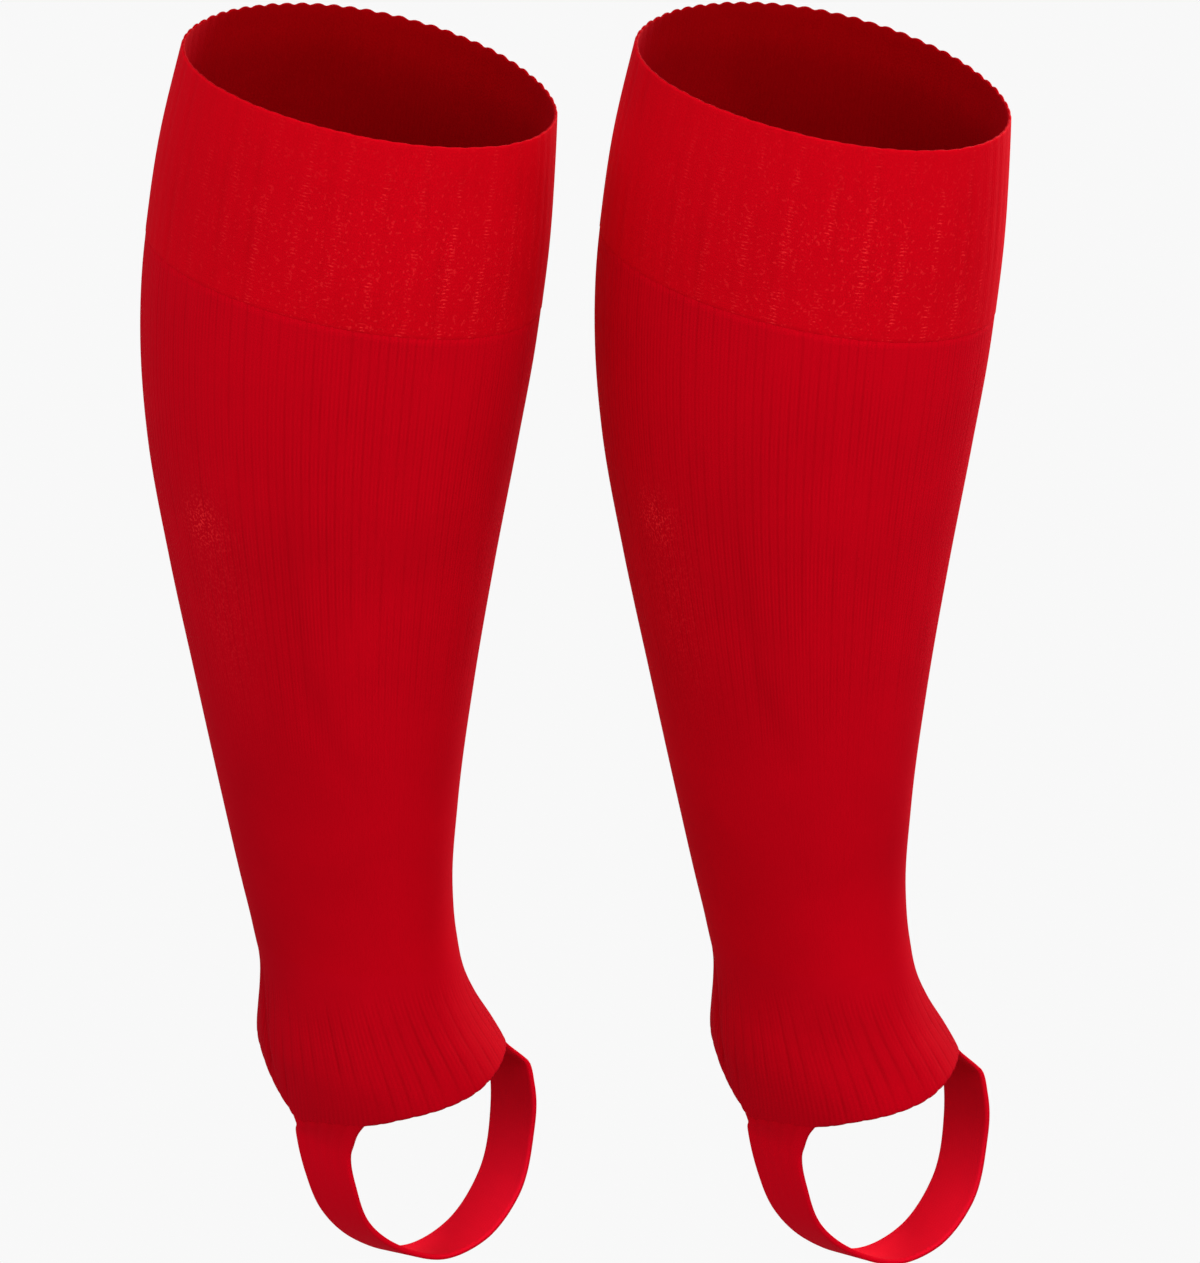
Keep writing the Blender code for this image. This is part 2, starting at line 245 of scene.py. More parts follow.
def on_leg(turn, height, push):
    """Points on the leg at the given turns and heights, pushed out level from its surface."""
    forward = smooth(SECTIONS, "forward", height)
    length = smooth(SECTIONS, "half_length", height)
    width = smooth(SECTIONS, "half_width", height)
    out = np.hypot(np.cos(turn) / length, np.sin(turn) / width)
    x = forward + length * np.cos(turn) + push * np.cos(turn) / length / out
    y = width * np.sin(turn) + push * np.sin(turn) / width / out
    return np.column_stack([x, y, height + 0.0 * turn])


def slope_height(slope, turn):
    """Height of a sloping edge at the given turns."""
    fall = slope.fall_to_toes * np.cos(turn) + slope.fall_to_side * np.sin(turn)
    return slope.height - fall - slope.sag * np.sin(2 * turn)


def hem_height(turn):
    """Height of the hem at the given turns."""
    return smooth(HEM, "height", np.degrees((turn + math.pi) % (2 * math.pi) - math.pi))


def degrees_from(turn, middle):
    """How far round the leg each turn is from a middle, in degrees."""
    return (np.degrees(turn) - middle + 180.0) % 360.0 - 180.0


def troughs(turn, height):
    """How far the soft troughs take the surface in at the given turns and heights."""
    depth = 0.0 * turn + 0.0 * height
    for row in TROUGHS:
        share = part(height, row.top, row.foot)
        middle = row.top_turn + (row.foot_turn - row.top_turn) * share
        aside = np.radians(degrees_from(turn, middle)) * smooth(SECTIONS, "half_length", height)
        depth = depth + row.depth * np.sin(math.pi * share) * bell(aside, 0.0, row.width)
    return depth


def placed(points, side):
    """Points of a sock's own frame in the pair's: turned, leaned outwards and set to its side."""
    turn = math.radians(TOES_TURN[side])
    lean = SIDE_WAY[side] * (SOCK_SPACING / 2 - SOCK_SPLAY * points[:, 2])
    x = points[:, 0] * math.cos(turn) - points[:, 1] * math.sin(turn) + lean
    y = points[:, 0] * math.sin(turn) + points[:, 1] * math.cos(turn)
    return np.column_stack([x, y, points[:, 2]])


def ribbing(ribs):
    """For each column of a ribbed tube: its turn, its place counted in ribs, its nearest groove,
    and how far it is down in that groove, from 0 to 1."""
    columns = ribs.count * ribs.columns
    rib = np.arange(columns) / ribs.columns
    nearest = np.round(rib)
    cut = bell(rib, nearest, ribs.groove)
    return turns_round(columns, ribs.height), rib, nearest.astype(int) % ribs.count, cut


def changes(change, ribs, shares):
    """How deep each groove is at each share of its length, as a share of the full depth."""
    place = shares * change.length
    rng = np.random.default_rng(change.seed)
    total = np.zeros((len(shares), ribs.count))
    for wave in range(WAVES):
        length = change.longest / (WAVE_SHORTER**wave)
        phase = rng.uniform(0.0, 2 * math.pi, ribs.count)
        total += np.sin(2 * math.pi * place[:, None] / length + phase[None, :]) * WAVE_WEAKER**wave
    return np.clip(change.mean + change.swing * (total / WAVE_SCALE), change.least, change.most)


class Shell:
    """Rings of points that close into one wall: down its outside, round its edge, and up its
    inside. Each point is marked with its groove value, which sets its painted shade in grooves,
    troughs, seams and inside, how napped it is and where it gets painted glints or highlights, and
    how slack the knit is, which also paints it darker."""

    def __init__(self):
        self.rings = []
        self.marks = {"groove": [], "nap_and_painted_glint": [], "slack_and_painted_shade": []}

    def add(self, points, groove, nap_and_painted_glint=0.0, slack_and_painted_shade=0.0):
        self.rings.append(points)
        for values, value in zip(self.marks.values(), (groove, nap_and_painted_glint, slack_and_painted_shade)):
            values.append(np.broadcast_to(value, len(points)))

    def add_inside(self, turn, top, foot, wall, rows):
        """Rings up the inside of a wall of even thickness, marked for the painted shade inside."""
        for share in np.linspace(1.0, 0.0, rows):
            height = between(top, foot, share)
            self.add(on_leg(turn, height, -wall - troughs(turn, height)), INSIDE)


# The cuff. Shares go from its rim to its foot.
CUFF_SEED = 3
CUFF_LEAST_DEEP = 0.2
# How far a groove dips the rim, less on the near side, and how uneven the tips of its ribs are.
RIM_SCALLOP = 0.7
RIM_NEAR_SCALLOP = 0.25
RIM_FAR_TURN = 145.0
RIM_FAR_COSINES = (-0.2, 0.4)
RIM_UNEVEN = 0.12
# Each rib's own swell, and how the cuff gets flatter towards its foot.
CUFF_SWELL = 0.05
CUFF_FLATTER = 0.8
CUFF_FLATTER_SHARES = (0.45, 1.0)
CUFF_FOOT_LIFT = 0.5
# Painted glints on the stitches show most on the two broad sides and away from the rim.
BROADSIDE_TURN = -18.0
BROADSIDE_LEAST = 0.15
PAINTED_GLINT_AT_RIM = 0.35
PAINTED_GLINT_SHARES = (0.0, 0.55)
# Rings round the cuff's foot: lift above it, push out, and the share of the grooves' depth.
FootRing = namedtuple("FootRing", "lift push groove")
CUFF_FOOT_RINGS = (FootRing(0.12, 0.08, 0.5), FootRing(0.0, 0.02, 0.3))
EDGE_SHADE = 0.1
# The inside and the rounded rim, with shallower grooves and the wall's thinner lip. The back of the
# knit, with the painted shade inside, starts and is full at these angles over the rim, in radians.
INNER_GROOVE = 0.6
INNER_LINE = 0.3
LIP_SHARES = (0.0, 0.25)
RIM_GROOVE = 0.3
RIM_INNER_SHADE_ANGLES = (0.3, 1.4)


def cuff_rings():
    """Double welt: narrow grooves of uneven depth over a rounded, scalloped rim."""
    turn, rib, line, cut = ribbing(CUFF_RIBS)
    rng = np.random.default_rng(CUFF_SEED)
    deep = CUFF_RIBS.deep * rng.uniform(CUFF_LEAST_DEEP, 1.0, CUFF_RIBS.count)[line]
    high = rng.uniform(-RIM_UNEVEN, RIM_UNEVEN, CUFF_RIBS.count)
    far = fade(np.cos(turn - math.radians(RIM_FAR_TURN)), *RIM_FAR_COSINES)
    scallop = RIM_SCALLOP * cut * (RIM_NEAR_SCALLOP + (1 - RIM_NEAR_SCALLOP) * far)
    rim = slope_height(RIM, turn) - scallop
    rim += np.interp(rib, np.arange(CUFF_RIBS.count + 1) + 0.5, np.append(high, high[0]))
    foot = slope_height(CUFF_FOOT, turn)
    broadside = (1 + np.cos(2 * (turn - math.radians(BROADSIDE_TURN)))) / 2
    broadside = BROADSIDE_LEAST + (1 - BROADSIDE_LEAST) * broadside
    swell = CUFF_SWELL * (1 - np.cos(2 * math.pi * rib)) / 2
    half = RIM_WALL / 2
    top = rim - half
    shell = Shell()
    shares = np.linspace(0.0, 1.0, CUFF_RIBS.rows)
    for share, change in zip(shares, changes(CUFF_CHANGE, CUFF_RIBS, shares)):
        height = between(top, foot + CUFF_FOOT_LIFT, share)
        groove = cut * deep * change[line]
        proud = CUFF_PROUD * (1 - CUFF_FLATTER * fade(share, *CUFF_FLATTER_SHARES))
        # Share of painted glints: most on the broad sides, fewer at the rim.
        bright = broadside * (PAINTED_GLINT_AT_RIM + (1 - PAINTED_GLINT_AT_RIM) * fade(share, *PAINTED_GLINT_SHARES))
        points = on_leg(turn, height, proud - groove + swell)
        shell.add(points, groove / CUFF_RIBS.deep, bright)
    for ring in CUFF_FOOT_RINGS:
        push = ring.push - ring.groove * cut * deep
        shell.add(on_leg(turn, foot + ring.lift, push), EDGE_SHADE)
    for share in np.linspace(1.0, 0.0, CUFF_RIBS.inner_rows):
        wall = RIM_WALL + (CUFF_WALL - RIM_WALL) * fade(share, *LIP_SHARES)
        push = CUFF_PROUD - wall + INNER_GROOVE * cut * deep
        shell.add(on_leg(turn, between(top, foot, share), push), INSIDE + INNER_LINE * (1 - cut))
    # Round the rim, the painted shade of the inside grows over its inner half.
    for angle in np.radians(ROUNDING[::-1]):
        push = CUFF_PROUD - half + (half - RIM_GROOVE * cut * deep) * math.cos(angle)
        points = on_leg(turn, top + half * math.sin(angle), push)
        shell.add(points, INSIDE * fade(angle, *RIM_INNER_SHADE_ANGLES))
    return shell


# The leg. Where its ribs fade down the leg, where its back is by turn, and where they fade there.
RIBS_FADE = 0.88
RIBS_FADE_HEIGHTS = (-118.0, -188.0)
BACK_FADE = 0.8
BACK_TURN = -20.0
BACK_COSINES = (-0.25, -0.75)
BACK_FADE_HEIGHTS = (-70.0, -115.0)
# Rubbed places on its near side, where painted glints show as bright dots.
Nap = namedtuple("Nap", "amount turn turn_width height height_width")
NAPS = (
    Nap(0.18, -81.0, 14.0, -120.0, 36.0),
    Nap(0.60, -83.0, 7.0, -97.0, 7.0),
)
# The shaded seam under the cuff, with the ring that tucks the leg's top in behind it.
SEAM_SHADE = 0.15
SEAM_WIDTH = 3.0
TUCK_LIFT = 0.6
TUCK_PUSH = -0.5
# Shares at which the ribs start and end, how much painted shade troughs give it, and the heights
# over which it gets slack and is painted darker towards the bottom.
RIBS_START = (0.0, 0.01)
RIBS_END = (1.0, 0.98)
LEG_TROUGH_SHADE = 0.8
SLACK_AND_SHADE_HEIGHTS = (-35.0, -240.0)


def leg_ribbing(turn, height):
    """How strongly the fine ribs stand at each turn and height: full under the cuff, nearly gone
    lower down and over the back of the calf."""
    lower = 1.0 - RIBS_FADE * fade(height, *RIBS_FADE_HEIGHTS)
    back = fade(np.cos(turn - math.radians(BACK_TURN)), *BACK_COSINES)
    return lower * (1.0 - BACK_FADE * back * fade(height, *BACK_FADE_HEIGHTS))


def nap_glint_share(turn, height):
    """How napped the leg is at each turn and height, which sets where it gets painted glints."""
    share = 0.0 * turn
    for nap in NAPS:
        aside = degrees_from(turn, nap.turn)
        round_it = bell(aside, 0.0, nap.turn_width) * bell(height, nap.height, nap.height_width)
        share = share + nap.amount * round_it
    return share


def leg_rings():
    """Leg tube with fine ribs that differ a little from one to the next."""
    turn, _, line, cut = ribbing(LEG_RIBS)
    top = slope_height(CUFF_FOOT, turn)
    shell = Shell()
    shell.add(on_leg(turn, top + TUCK_LIFT, TUCK_PUSH), SEAM_SHADE)
    shares = np.linspace(0.0, 1.0, LEG_RIBS.rows)
    for share, change in zip(shares, changes(LEG_CHANGE, LEG_RIBS, shares)):
        height = between(top, ANKLE_TOP, share)
        groove = cut * LEG_RIBS.deep * leg_ribbing(turn, height) * change[line]
        seam = SEAM_SHADE * bell(share * LEG_CHANGE.length, 0.0, SEAM_WIDTH)
        ends = fade(share, *RIBS_START) * fade(share, *RIBS_END)
        sunk = troughs(turn, height)
        shade = groove / LEG_RIBS.deep + seam + LEG_TROUGH_SHADE * sunk
        # Marks: painted shade of grooves, seam and troughs, nap with its painted glints, and slack,
        # which also paints the lower leg darker.
        shell.add(
            on_leg(turn, height, -groove * ends - sunk),
            np.clip(shade, 0.0, OUTSIDE_MOST),
            nap_glint_share(turn, height),
            part(height, *SLACK_AND_SHADE_HEIGHTS),
        )
    shell.add_inside(turn, top, ANKLE_TOP, LEG_WALL, LEG_RIBS.inner_rows)
    return shell


# The ankle. Shares go from its top to its hem. The grooves scallop the hem where it is free, up to
# this far beside the band.
HEM_SCALLOP = 0.12
HEM_HELD_WIDTH = 2.5
# Its grooves deepen, get shallower again at the hem, and end above the band. Troughs give it
# painted shade, and its loose ribs are slacker than the leg, which also paints them darker.
DEEPEN_SHARES = (0.08, 0.58)
HEM_SHALLOWER = 0.6
HEM_SHARES = (0.85, 1.0)
BAND_SHARES = (0.55, 0.95)
HEM_GROOVE = 0.4
ANKLE_TROUGH_SHADE = 0.9
ANKLE_EXTRA_SLACK_AND_SHADE = 0.35
ANKLE_SLACK_AND_SHADE_SHARES = (0.0, 0.4)
HEM_SLACK_AND_SHADE = 1.3


def on_stirrup(turn):
    """1 where the stirrup hangs from the hem, 0 on the free hem."""
    held = np.zeros(len(turn))
    for band in (NEAR_END.band, FAR_END.band):
        reach = smooth(SECTIONS, "half_length", band.height) * np.cos(turn)
        place = smooth(SECTIONS, "forward", band.height) + reach
        beside = np.abs(place - band.forward) - band.width / 2
        same_side = band.side * np.sin(turn) > 0
        held = np.maximum(held, same_side * fade(beside, HEM_HELD_WIDTH, 0.0))
    return held


def ankle_rings():
    """Ribbed ankle whose grooves deepen towards the open, rounded and scalloped hem."""
    turn, _, line, cut = ribbing(ANKLE_RIBS)
    held = on_stirrup(turn)
    free = 1.0 - held
    half = ANKLE_WALL / 2
    hem = hem_height(turn) + HEM_SCALLOP * cut * free
    foot = hem + half * free
    shell = Shell()
    shares = np.linspace(0.0, 1.0, ANKLE_RIBS.rows)
    for share, change in zip(shares, changes(ANKLE_CHANGE, ANKLE_RIBS, shares)):
        height = between(ANKLE_TOP, foot, share)
        depth = ANKLE_RIBS.deep * fade(share, *DEEPEN_SHARES) * change[line]
        depth = depth * (1 - HEM_SHALLOWER * fade(share, *HEM_SHARES))
        depth = depth * (1 - held * fade(share, *BAND_SHARES))
        sunk = troughs(turn, height)
        shade = cut * depth / ANKLE_RIBS.deep + ANKLE_TROUGH_SHADE * sunk
        slack_and_painted_shade = 1.0 + ANKLE_EXTRA_SLACK_AND_SHADE * fade(share, *ANKLE_SLACK_AND_SHADE_SHARES)
        points = on_leg(turn, height, -depth * cut - sunk)
        shell.add(points, np.clip(shade, 0.0, OUTSIDE_MOST), slack_and_painted_shade=slack_and_painted_shade)
    for angle in np.radians(ROUNDING):
        height = hem + half * free * (1 - math.sin(angle))
        groove = HEM_GROOVE * ANKLE_RIBS.deep * cut * (1 - angle / math.pi) * free
        push = -half + half * math.cos(angle) - groove
        points = on_leg(turn, height, push - troughs(turn, height))
        shell.add(points, EDGE_SHADE, slack_and_painted_shade=HEM_SLACK_AND_SHADE)
    shell.add_inside(turn, ANKLE_TOP, foot, ANKLE_WALL, ANKLE_RIBS.inner_rows)
    return shell


# The stirrup band. Its rounded edges and its ribs are placed by shares of half its width.
BAND_ROWS = 190
BAND_COLUMNS = 34
BAND_FLAT = 0.95
BAND_EDGE_TURNS = (60.0, 30.0, 0.0, -30.0, -60.0)
BAND_EDGE_ROUND = 0.07
# The ribs along its outer face: how many, how far out they reach, how high they are at the hem, the
# length over which they die out, and how much they shade the grooves between them.
BAND_RIBS = 5.0
BAND_RIBBED = 0.93
BAND_RIB_HIGH = 0.14
BAND_RIB_LENGTH = 16.0
BAND_RIB_SHADE = 3.0
# The stretch of its inner face with a painted highlight, and how slack the knit is at the hem,
# which also paints it darker there.
BAND_HIGHLIGHT_ALONG = 96.0
BAND_HIGHLIGHT_LENGTH = 32.0
BAND_INNER_FACE = (0.5, -0.5)
BAND_END_SLACK_AND_SHADE = 1.2
BAND_SLACK_AND_SHADE_LENGTH = 5.0


def hanging_band(along, across, lift):
    """Points of the hanging band at a length along it: shares of its half width across, and lifts
    off its middle."""
    ahead = np.zeros(3)
    for sign in (-1.0, 1.0):
        ahead[1] += sign * smooth(STIRRUP, "side", along + sign * STIRRUP_STEP)
        ahead[2] += sign * smooth(STIRRUP, "height", along + sign * STIRRUP_STEP)
    ahead /= np.linalg.norm(ahead)
    outward = np.array([0.0, ahead[2], -ahead[1]])
    twist = math.radians(smooth(STIRRUP, "twist", along))
    across_way = math.cos(twist) * np.array([1.0, 0.0, 0.0]) + math.sin(twist) * outward
    face_way = np.cross(across_way, ahead)
    if face_way @ outward < 0:
        face_way = -face_way
    half_width = smooth(STIRRUP, "width", along) / 2
    middle = np.array([smooth(STIRRUP, key, along) for key in ("forward", "side", "height")])
    return middle + across[:, None] * half_width * across_way + lift[:, None] * face_way


def stirrup_points(along, across, lift):
    """Points of the band at a length along it, which near its ends follow the hem above them."""
    flat = hanging_band(along, across, lift)
    end = NEAR_END if along < STIRRUP[-1].along / 2 else FAR_END
    from_hem = abs(along - end.band.along)
    share = fade(from_hem, end.blend, 0.0)
    if share == 0.0:
        return flat
    half_width = smooth(STIRRUP, "width", along) / 2
    twist = math.radians(smooth(STIRRUP, "twist", along))
    place = end.band.forward + across * half_width * math.cos(twist)
    centre = smooth(SECTIONS, "forward", end.band.height)
    length = smooth(SECTIONS, "half_length", end.band.height)
    sign = math.copysign(1.0, end.band.side)
    turn = sign * np.arccos(np.clip((place - centre) / length, -1.0, 1.0))
    under_hem = on_leg(turn, hem_height(turn), lift - ANKLE_WALL / 2)
    under_hem[:, 2] = hem_height(turn) - from_hem
    return between(flat, under_hem, share)


def stirrup_rings():
    """Band with rounded edges and shallow lengthwise ribs that fade from its ends."""
    half = STIRRUP_WALL / 2
    face = np.column_stack([np.linspace(-1.0, 1.0, BAND_COLUMNS), np.full(BAND_COLUMNS, half)])
    edge_turn = np.radians(BAND_EDGE_TURNS)
    edge = np.column_stack([1.0 + BAND_EDGE_ROUND * np.cos(edge_turn), half * np.sin(edge_turn)])
    across, lift = (np.vstack([face, edge, -face, -edge]) * [BAND_FLAT, 1.0]).T
    outer = lift == half
    inner = fade(lift / half, *BAND_INNER_FACE)
    ribs = np.cos(across * math.pi * BAND_RIBS)
    shell = Shell()
    for along in np.linspace(0.0, STIRRUP[-1].along, BAND_ROWS):
        from_hem = min(along, STIRRUP[-1].along - along)
        high = BAND_RIB_HIGH * math.exp(-from_hem / BAND_RIB_LENGTH)
        line = ribs * high * (np.abs(across) < BAND_RIBBED)
        # Marks: painted shade between the ribs, a painted highlight on the inner face, and slack
        # that paints the ends darker.
        shell.add(
            stirrup_points(along, across, lift + line * outer),
            np.clip(-line * BAND_RIB_SHADE, 0.0, 1.0),
            bell(along, BAND_HIGHLIGHT_ALONG, BAND_HIGHLIGHT_LENGTH) * inner,
            BAND_END_SLACK_AND_SHADE * math.exp(-from_hem / BAND_SLACK_AND_SHADE_LENGTH),
        )
    return shell


def grid(rings, wales, closed_rows):
    """Quads between the rings, and for each of their corners its place in wales round and in
    millimetres along."""
    rows, columns = len(rings), len(rings[0])
    upper = np.arange(rows if closed_rows else rows - 1)
    lower = (upper + 1) % rows
    steps = [np.linalg.norm(rings[b] - rings[a], axis=1).mean() for a, b in zip(upper, lower)]
    run = np.concatenate([[0.0], np.cumsum(steps)])
    start, end = run[:-1], run[1:]
    around = np.arange(columns + 1) * wales / columns
    left, right = around[:-1], around[1:]
    here = np.arange(columns)
    after = (here + 1) % columns
    corners = (
        (upper, here, start, left),
        (lower, here, end, left),
        (lower, after, end, right),
        (upper, after, start, right),
    )
    quads = [row[:, None] * columns + column for row, column, _, _ in corners]
    places = [np.stack(np.broadcast_arrays(u, v[:, None]), axis=-1) for _, _, v, u in corners]
    return np.stack(quads, axis=-1).reshape(-1, 4), np.stack(places, axis=2).reshape(-1, 2)


def grid_object(name, shell, wales, material, side, closed_rows):
    """Mesh object from rings that each close on themselves, capped at both ends unless its rows
    close too."""
    rows, columns = len(shell.rings), len(shell.rings[0])
    quads, places = grid(shell.rings, wales, closed_rows)
    here = np.arange(columns)
    caps = [] if closed_rows else [here[::-1], (rows - 1) * columns + here]
    corners = np.concatenate([quads.ravel(), *caps])
    cap_starts = quads.size + np.arange(len(caps)) * columns
    starts = np.concatenate([np.arange(len(quads)) * 4, cap_starts])
    points = placed(np.vstack(shell.rings), side) * MM
    mesh = bpy.data.meshes.new(name)
    mesh.vertices.add(len(points))
    mesh.vertices.foreach_set("co", points.astype(np.float32).ravel())
    mesh.loops.add(len(corners))
    mesh.loops.foreach_set("vertex_index", corners.astype(np.int32))
    mesh.polygons.add(len(starts))
    mesh.polygons.foreach_set("loop_start", starts.astype(np.int32))
    knit_places = np.zeros((len(corners), 2), np.float32)
    knit_places[: len(places)] = places
    mesh.uv_layers.new(name="knit").data.foreach_set("uv", knit_places.ravel())
    for key, values in shell.marks.items():
        attribute = mesh.attributes.new(key, "FLOAT", "POINT")
        attribute.data.foreach_set("value", np.concatenate(values).astype(np.float32))
    mesh.update(calc_edges=True)
    mesh.validate()
    mesh.shade_smooth()
    mesh.set_sharp_from_angle(angle=math.radians(SHARP_EDGE))
    mesh.materials.append(material)
    made = bpy.data.objects.new(name, mesh)
    bpy.context.scene.collection.objects.link(made)
    return made


# Noise through the cloth: features in a metre, octaves and their strength, and the values that go
# to 0 and to 1 where it is ramped.
Grain = namedtuple("Grain", "scale detail roughness low high", defaults=(None, None))
FIBRES = Grain(1900.0, 3.0, 0.6)
PATCHES = Grain(26.0, 3.0, 0.55)
SPECKLES = Grain(520.0, 2.0, 0.6)
LINE_BREAKS = Grain(75.0, 1.0, 0.5, 0.25, 0.75)
NAP_GLINT_DOTS = Grain(1300.0, 1.0, 0.5, 0.50, 0.66)
GLINT_WAVER = Grain(400.0, 1.0, 0.5)
GLINT_GAPS = Grain(800.0, 1.0, 0.5, 0.42, 0.62)
GLINT_STRETCHES = Grain(90.0, 2.0, 0.7, 0.40, 0.54)
GLINT_SCATTER = Grain(900.0, 1.0, 0.5, 0.60, 0.72)


class Nodes:
    """Short calls for building a material's node tree."""

    def __init__(self, tree):
        self.tree = tree

    def add(self, kind, **values):
        node = self.tree.nodes.new(kind)
        for key, value in values.items():
            setattr(node, key, value)
        return node

    def link(self, value, socket):
        if isinstance(value, bpy.types.NodeSocket):
            self.tree.links.new(value, socket)
        else:
            socket.default_value = value

    def math(self, operation, *values):
        node = self.add("ShaderNodeMath", operation=operation)
        for socket, value in zip(node.inputs, values):
            self.link(value, socket)
        return node.outputs[0]

    def plus(self, first, second):
        return self.math("ADD", first, second)

    def minus(self, first, second):
        return self.math("SUBTRACT", first, second)

    def times(self, first, second):
        return self.math("MULTIPLY", first, second)

    def mix(self, share, first, second):
        """Colour between two: a colour mix takes them at inputs 6 and 7, and gives output 2."""
        node = self.add("ShaderNodeMix", data_type="RGBA")
        self.link(share, node.inputs[0])
        self.link(first, node.inputs[6])
        self.link(second, node.inputs[7])
        return node.outputs[2]

    def ramp(self, value, low, high):
        """0 at low to 1 at high."""
        node = self.add("ShaderNodeMapRange", interpolation_type="SMOOTHSTEP")
        self.link(value, node.inputs[0])
        node.inputs[1].default_value = low
        node.inputs[2].default_value = high
        return node.outputs[0]

    def noise(self, place, grain):
        """Noise of a grain, ramped where the grain says so."""
        node = self.add("ShaderNodeTexNoise")
        self.link(place, node.inputs["Vector"])
        node.inputs["Scale"].default_value = grain.scale
        node.inputs["Detail"].default_value = grain.detail
        node.inputs["Roughness"].default_value = grain.roughness
        if grain.low is None:
            return node.outputs[0]
        return self.ramp(node.outputs[0], grain.low, grain.high)

    def attribute(self, name):
        return self.add("ShaderNodeAttribute", attribute_name=name).outputs["Fac"]


# A knit's colour and its darkest shade, how much painted shade its grooves get, partly the deeper
# colour of the thread there, and how much painted light lightens its columns of stitches, the
# length of a course, the height of a wale, the depth of stitches and of fibres, how strong its
# speckles are, and the colour of its painted glints and highlights.
Knit = namedtuple("Knit", "colour shade groove line course wale stitch fibre speckle bright")
KNITS = {
    "cuff": Knit(
        colour=(0.618, 0.0007, 0.0070),
        shade=(0.30, 0.0004, 0.0012),
        groove=0.10,
        line=0.02,
        course=1.15,
        wale=0.2,
        stitch=0.08,
        fibre=0.08,
        speckle=0.14,
        bright=(0.95, 0.025, 0.030),
    ),
    "leg": Knit(
        colour=(0.587, 0.0005, 0.0078),
        shade=(0.26, 0.0002, 0.0032),
        groove=0.13,
        line=0.14,
        course=1.05,
        wale=0.8,
        stitch=0.05,
        fibre=0.04,
        speckle=0.07,
        bright=(0.95, 0.025, 0.030),
    ),
    "ankle": Knit(
        colour=(0.587, 0.0005, 0.0085),
        shade=(0.26, 0.0003, 0.0034),
        groove=0.14,
        line=0.09,
        course=1.05,
        wale=0.4,
        stitch=0.04,
        fibre=0.04,
        speckle=0.07,
        bright=None,
    ),
    "stirrup": Knit(
        colour=(0.610, 0.0005, 0.0090),
        shade=(0.32, 0.0003, 0.0030),
        groove=0.25,
        line=0.02,
        course=0.95,
        wale=0.3,
        stitch=0.03,
        fibre=0.02,
        speckle=0.05,
        bright=(0.90, 0.0050, 0.0240),
    ),
}
# Wales round each piece.
WALES = {
    "cuff": CUFF_RIBS.count * 4,
    "leg": LEG_RIBS.count * 2,
    "ankle": ANKLE_RIBS.count * 3,
    "stirrup": 40,
}

# A stitch's two legs: how far they rise over half a wale, in courses, and how high they stand.
VEE_RISE = 1.1
VEE_HEIGHT = 0.12
# Stitches show where the knit is taut, and again in the loose ribs of the hem.
TAUT_SLACK = (0.85, 0.35)
HEM_TAUT_SLACK = (1.05, 1.3)
TAUT_LEAST = 0.15
# How much the inside of a tube darkens the colour, partly the back of the knit's own darker colour
# and partly painted shade, how much painted shade the slack knit lower down gets, and how much the
# dye's patches darken it.
BACK_GROOVE = (1.35, 1.9)
BACK_AND_INNER_PAINTED_SHADE = 0.70
SLACK_PAINTED_SHADE = 0.38
PATCH_SHADE = 0.4
# Columns of glints: wales from one to the next, how far they lean, their half width, the length of
# a glint with its gap, how far that wavers, the part of it that is bright, and how strong the
# glints scattered between the columns are.
GLINT_WALES = 8.0
GLINT_LEAN = 0.05
GLINT_COLUMN = (0.00, 0.15)
GLINT_PITCH = 1.1
GLINT_WAVERS = 6.0
GLINT_SINES = (0.2, 0.9)
GLINT_SCATTERED = 0.35

BUMP_STRENGTH = 0.9
FINISH = {
    "Roughness": 0.8,
    "Specular IOR Level": 0.01,
    "Sheen Weight": 0.12,
    "Sheen Roughness": 0.5,
    "Sheen Tint": (1.0, 0.02, 0.06, 1.0),
}


def stitch_glints(n, wale, length, place):
    """Painted glints of short stitches, in leaning columns that come and go, and some scattered
    between.
    """
    leaning = n.plus(wale, n.times(length, GLINT_LEAN))
    across = n.math("FRACT", n.math("DIVIDE", leaning, GLINT_WALES))
    column = n.ramp(n.math("ABSOLUTE", n.minus(across, 0.5)), *GLINT_COLUMN)
    column = n.minus(1.0, column)
    waver = n.times(n.noise(place, GLINT_WAVER), GLINT_WAVERS)
    dash = n.math("SINE", n.plus(n.times(length, 2 * math.pi / GLINT_PITCH), waver))
    dash = n.ramp(dash, *GLINT_SINES)
    gaps = n.noise(place, GLINT_GAPS)
    stretches = n.noise(place, GLINT_STRETCHES)
    columns = n.times(n.times(n.times(column, dash), gaps), stretches)
    scattered = n.times(n.noise(place, GLINT_SCATTER), GLINT_SCATTERED)
    return n.math("MAXIMUM", columns, scattered)


